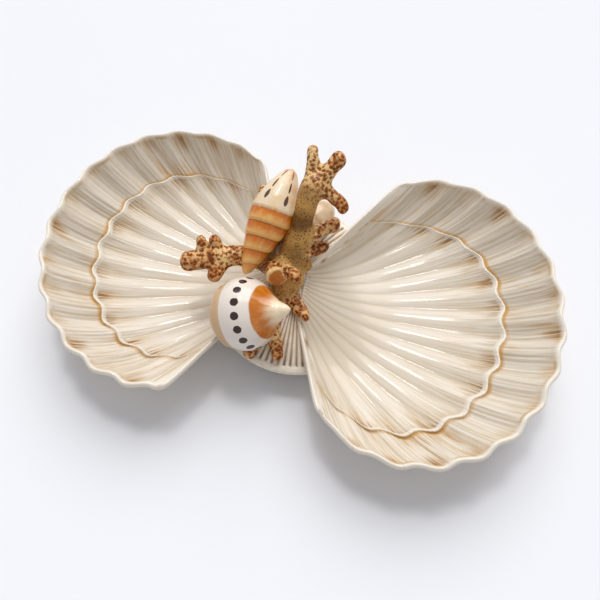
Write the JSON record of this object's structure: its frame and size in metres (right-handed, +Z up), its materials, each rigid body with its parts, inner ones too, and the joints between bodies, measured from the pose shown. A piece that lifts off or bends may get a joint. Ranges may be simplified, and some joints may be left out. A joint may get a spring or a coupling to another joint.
{
  "type": "double shell serving dish",
  "caption": "Glazed ceramic serving dish of two fluted scallop bowls joined hinge to hinge, with a coral and sea shell handle between them.",
  "frame": {"origin": "middle of the plan, on the table that the foot rings stand on", "axes": "+X from the left bowl to the right bowl, +Y from the front fan to the rear fan, +Z up"},
  "size_m": [0.3718, 0.2208, 0.1116],
  "materials": {
    "ivory_glaze": "gloss ivory glaze with ochre stain in the furrows",
    "saddle_glaze": "gloss cream glaze with brown stain between the ribs",
    "bare_clay": "bare fired clay",
    "coral_glaze": "satin tan glaze mottled with brown",
    "banded_glaze": "gloss cream and orange-brown bands",
    "spotted_glaze": "gloss white band with dark spots, orange and cream bands",
    "blush_glaze": "gloss pale pinkish cream"
  },
  "bodies": {
    "root": {"right_dish": "ivory_glaze", "left_dish": "ivory_glaze", "right_foot_ring": "bare_clay", "left_foot_ring": "bare_clay", "front_fan": "saddle_glaze", "rear_fan": "saddle_glaze", "saddle_core": "saddle_glaze", "spindle_shell": "banded_glaze", "snail_shell": "spotted_glaze", "rear_shell": "blush_glaze", "coral_trunk": "coral_glaze", "coral_left_branch": "coral_glaze", "coral_top_left_twig": "coral_glaze", "coral_top_right_twig": "coral_glaze", "coral_right_twig": "coral_glaze", "coral_mid_right_twig": "coral_glaze", "coral_low_right_twig": "coral_glaze", "coral_rear_twig": "coral_glaze", "coral_left_lower_twig": "coral_glaze", "coral_left_upper_twig": "coral_glaze", "coral_left_back_twig": "coral_glaze", "coral_front_stub": "coral_glaze", "coral_front_twig": "coral_glaze", "coral_right_root": "coral_glaze", "coral_front_root": "coral_glaze", "coral_front_left_root": "coral_glaze"}
  },
  "joints": []
}
